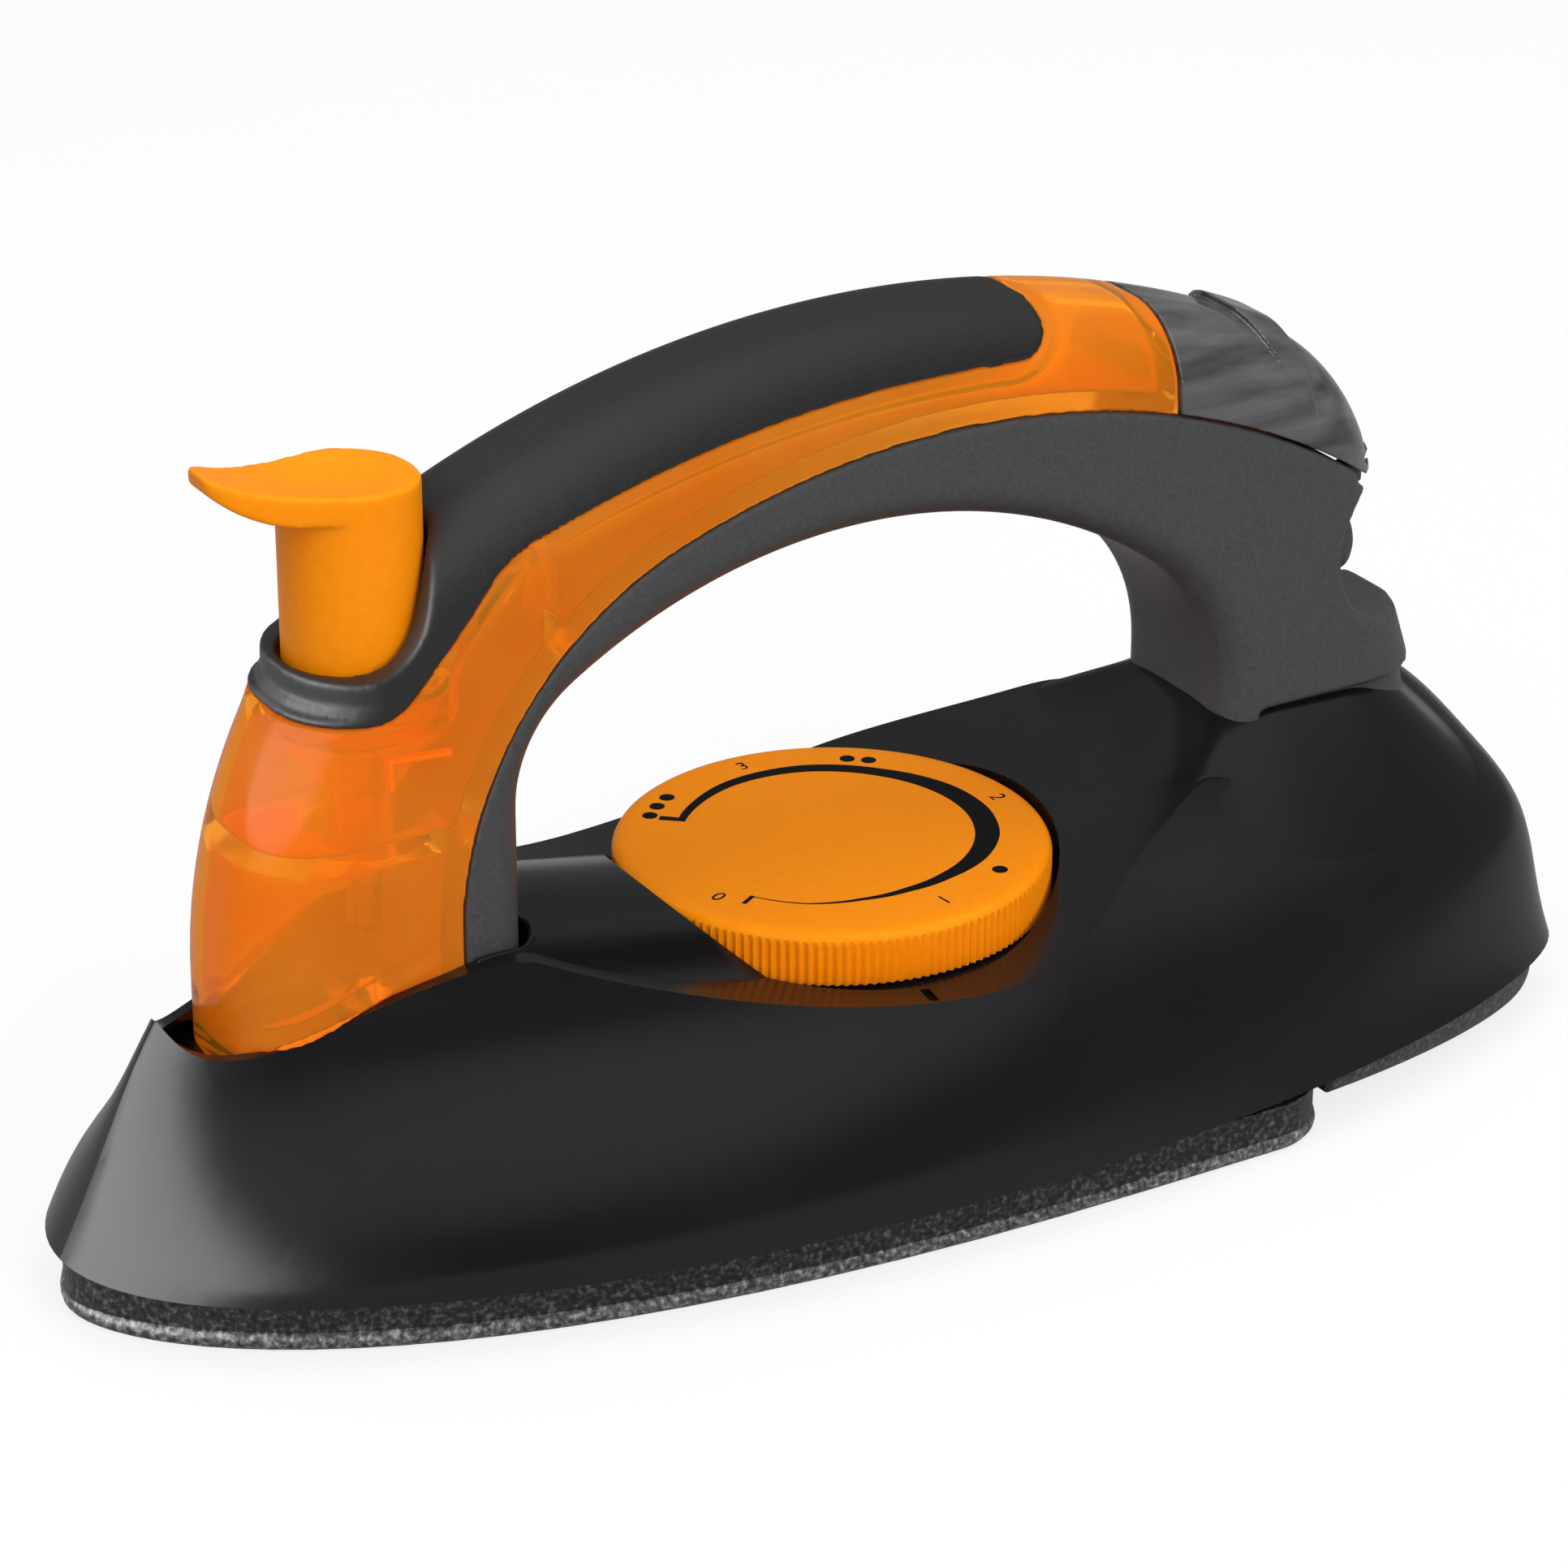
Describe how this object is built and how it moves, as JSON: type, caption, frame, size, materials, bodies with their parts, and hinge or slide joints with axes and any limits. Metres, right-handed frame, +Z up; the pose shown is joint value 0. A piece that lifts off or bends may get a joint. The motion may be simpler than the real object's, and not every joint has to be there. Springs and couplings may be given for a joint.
{
  "type": "travel steam iron",
  "caption": "Compact steam iron: boat-shaped soleplate and hull, arched handle with built-in water tank, thumb steam button, heat dial and hinged filler cap.",
  "frame": {"origin": "centre of the bounding box at the bottom of the soleplate", "axes": "+Z up, nose towards -X, tail towards +X, Y across"},
  "size_m": [0.2, 0.0866, 0.1029],
  "materials": {
    "coated_plate": "speckled non-stick coat on cast aluminium",
    "steel": "plain steel",
    "sheet_aluminium": "mill finish sheet",
    "brass": "turned",
    "ceramic_white": "unglazed",
    "black_gloss": "high gloss",
    "grey_plastic": "fine speckle",
    "grey_satin": "satin",
    "orange_clear": "translucent tinted",
    "orange_plastic": "opaque semi gloss",
    "black_soft": "soft touch",
    "seal_rubber": "moulded",
    "lead_rubber": "heat-proof sleeve"
  },
  "bodies": {
    "base": {"soleplate": "coated_plate", "heating_element": "steel", "steam_chamber_cover": "sheet_aluminium", "heat_shield": "sheet_aluminium", "thermostat": "steel", "thermal_fuse": "ceramic_white", "body_shell": "black_gloss", "rear_base_cover": "grey_plastic", "shield_screws": "steel", "shell_screws": "steel", "cover_screws": "steel", "handle_screws": "steel", "handle_frame": "grey_satin", "water_tank": "orange_clear", "grip_cover": "black_soft", "cap_hinge_pin": "steel", "button_sleeve": "orange_clear", "rod_seal": "seal_rubber", "button_spring": "steel", "drip_nozzle": "brass", "tank_seal": "seal_rubber", "terminal_block": "ceramic_white", "inner_leads": "lead_rubber"},
    "dial": {"temperature_dial": "orange_plastic", "dial_spindle": "brass"},
    "button": {"steam_button": "orange_plastic", "valve_rod": "brass"},
    "cap": {"filler_cap": "black_gloss", "filler_gasket": "seal_rubber"},
    "bush": {"cord_bush": "black_soft"}
  },
  "joints": [
    {"name": "dial_turn", "type": "hinge", "parent": "base", "child": "dial", "pos_m": [0.003, 0, 0.032], "axis": [0, 0, 1], "range_deg": [-234, 51]},
    {"name": "button_press", "type": "slide", "parent": "base", "child": "button", "axis": [0, 0, -1], "range_m": [0, 0.006], "stiffness_N_per_m": 400, "springref_m": -0.004, "deforming": ["button_spring"]},
    {"name": "cap_open", "type": "hinge", "parent": "base", "child": "cap", "pos_m": [0.0746, 0, 0.0728], "axis": [0, 1, 0], "range_deg": [0, 70]},
    {"name": "bush_swivel", "type": "hinge", "parent": "base", "child": "bush", "pos_m": [0.0664, 0, 0.0596], "axis": [0, 1, 0], "range_deg": [-25, 25]}
  ]
}
